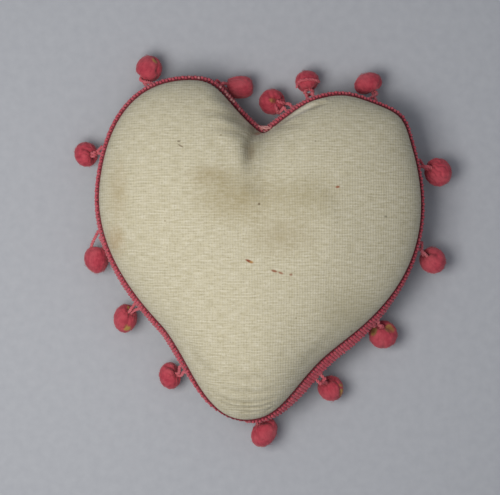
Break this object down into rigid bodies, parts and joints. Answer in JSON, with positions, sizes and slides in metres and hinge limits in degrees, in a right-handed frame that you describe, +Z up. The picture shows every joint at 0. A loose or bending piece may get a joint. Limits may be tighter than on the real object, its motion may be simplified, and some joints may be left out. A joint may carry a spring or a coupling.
{
  "type": "pincushion",
  "caption": "Heart-shaped pincushion with a plump linen cover, a ribbed braid along its side seam and wool balls that hang from the braid on short cord loops.",
  "frame": {"origin": "a point on the flat of the underside, near the middle of the heart", "axes": "+Z up through the crown, +Y towards the two lobes and away from the tip, +X to the right seen from above"},
  "size_m": [0.1593, 0.1649, 0.048],
  "materials": {
    "linen": "coarse natural linen, unglazed, stained",
    "calico": "plain unbleached cotton",
    "filling": "packed bran",
    "braid_wool": "ribbed worsted braid, coral red",
    "loop_cord": "twisted worsted cord, coral red",
    "core_wadding": "matted yellow wadding",
    "ball_wool": "wound wool, coral red, faded and worn",
    "pale_thread": "twisted cotton thread, faded pink"
  },
  "bodies": {
    "cushion": {"front_cover": "linen", "back_cover": "linen", "bag_front": "calico", "bag_back": "calico", "stuffing": "filling", "fringe_braid": "braid_wool", "braid_tack": "pale_thread"},
    "hanging_ball_01": {"loop_01": "loop_cord", "core_01": "core_wadding", "ball_01": "ball_wool"},
    "hanging_ball_02": {"loop_02": "loop_cord", "core_02": "core_wadding", "ball_02": "ball_wool"},
    "hanging_ball_03": {"loop_03": "loop_cord", "core_03": "core_wadding", "ball_03": "ball_wool"},
    "hanging_ball_04": {"loop_04": "loop_cord", "core_04": "core_wadding", "ball_04": "ball_wool"},
    "hanging_ball_05": {"loop_05": "loop_cord", "core_05": "core_wadding", "ball_05": "ball_wool"},
    "hanging_ball_06": {"loop_06": "loop_cord", "core_06": "core_wadding", "ball_06": "ball_wool"},
    "hanging_ball_07": {"loop_07": "loop_cord", "core_07": "core_wadding", "ball_07": "ball_wool"},
    "hanging_ball_08": {"loop_08": "loop_cord", "core_08": "core_wadding", "ball_08": "ball_wool"},
    "hanging_ball_09": {"loop_09": "loop_cord", "core_09": "core_wadding", "ball_09": "ball_wool"},
    "hanging_ball_10": {"loop_10": "loop_cord", "core_10": "core_wadding", "ball_10": "ball_wool"},
    "hanging_ball_11": {"loop_11": "loop_cord", "core_11": "core_wadding", "ball_11": "ball_wool"},
    "hanging_ball_12": {"loop_12": "loop_cord", "core_12": "core_wadding", "ball_12": "ball_wool"},
    "hanging_ball_13": {"loop_13": "loop_cord", "core_13": "core_wadding", "ball_13": "ball_wool"},
    "hanging_ball_14": {"loop_14": "loop_cord", "core_14": "core_wadding", "ball_14": "ball_wool"}
  },
  "joints": [
    {"name": "ball_01_swing", "type": "hinge", "parent": "cushion", "child": "hanging_ball_01", "pos_m": [-0.0471, 0.06964, 0.01507], "axis": [0.8971, 0.4419, 0], "range_deg": [-74, 88]},
    {"name": "ball_02_swing", "type": "hinge", "parent": "cushion", "child": "hanging_ball_02", "pos_m": [-0.01769, 0.07102, 0.01507], "axis": [0.8991, -0.4377, 0], "range_deg": [-23, 118]},
    {"name": "ball_03_swing", "type": "hinge", "parent": "cushion", "child": "hanging_ball_03", "pos_m": [0.01056, 0.06089, 0.01516], "axis": [0.838, 0.5457, 0], "range_deg": [-41, 109]},
    {"name": "ball_04_swing", "type": "hinge", "parent": "cushion", "child": "hanging_ball_04", "pos_m": [0.02017, 0.06559, 0.01512], "axis": [0.9484, 0.3171, 0], "range_deg": [-53, 100]},
    {"name": "ball_05_swing", "type": "hinge", "parent": "cushion", "child": "hanging_ball_05", "pos_m": [0.04705, 0.06345, 0.01501], "axis": [0.9218, -0.3876, 0], "range_deg": [-62, 88]},
    {"name": "ball_06_swing", "type": "hinge", "parent": "cushion", "child": "hanging_ball_06", "pos_m": [0.067, 0.03659, 0.01501], "axis": [0.2188, -0.9758, 0], "range_deg": [-71, 70]},
    {"name": "ball_07_swing", "type": "hinge", "parent": "cushion", "child": "hanging_ball_07", "pos_m": [0.067, 0.00167, 0.01516], "axis": [-0.3693, -0.9293, 0], "range_deg": [-71, 85]},
    {"name": "ball_08_swing", "type": "hinge", "parent": "cushion", "child": "hanging_ball_08", "pos_m": [0.04818, -0.03117, 0.01654], "axis": [-0.6628, -0.7488, 0], "range_deg": [-53, 114]},
    {"name": "ball_09_swing", "type": "hinge", "parent": "cushion", "child": "hanging_ball_09", "pos_m": [0.02559, -0.05533, 0.01724], "axis": [-0.7103, -0.7039, 0], "range_deg": [-53, 120]},
    {"name": "ball_10_swing", "type": "hinge", "parent": "cushion", "child": "hanging_ball_10", "pos_m": [-0.00472, -0.07218, 0.01501], "axis": [-0.9824, -0.1869, 0], "range_deg": [-68, 79]},
    {"name": "ball_11_swing", "type": "hinge", "parent": "cushion", "child": "hanging_ball_11", "pos_m": [-0.0339, -0.05042, 0.0152], "axis": [-0.5578, 0.83, 0], "range_deg": [-59, 106]},
    {"name": "ball_12_swing", "type": "hinge", "parent": "cushion", "child": "hanging_ball_12", "pos_m": [-0.05261, -0.02356, 0.01529], "axis": [-0.5743, 0.8187, 0], "range_deg": [-68, 91]},
    {"name": "ball_13_swing", "type": "hinge", "parent": "cushion", "child": "hanging_ball_13", "pos_m": [-0.0687, 0.00647, 0.01514], "axis": [-0.3162, 0.9487, 0], "range_deg": [-59, 85]},
    {"name": "ball_14_swing", "type": "hinge", "parent": "cushion", "child": "hanging_ball_14", "pos_m": [-0.06794, 0.04221, 0.01507], "axis": [0.279, 0.9603, 0], "range_deg": [-68, 97]}
  ]
}
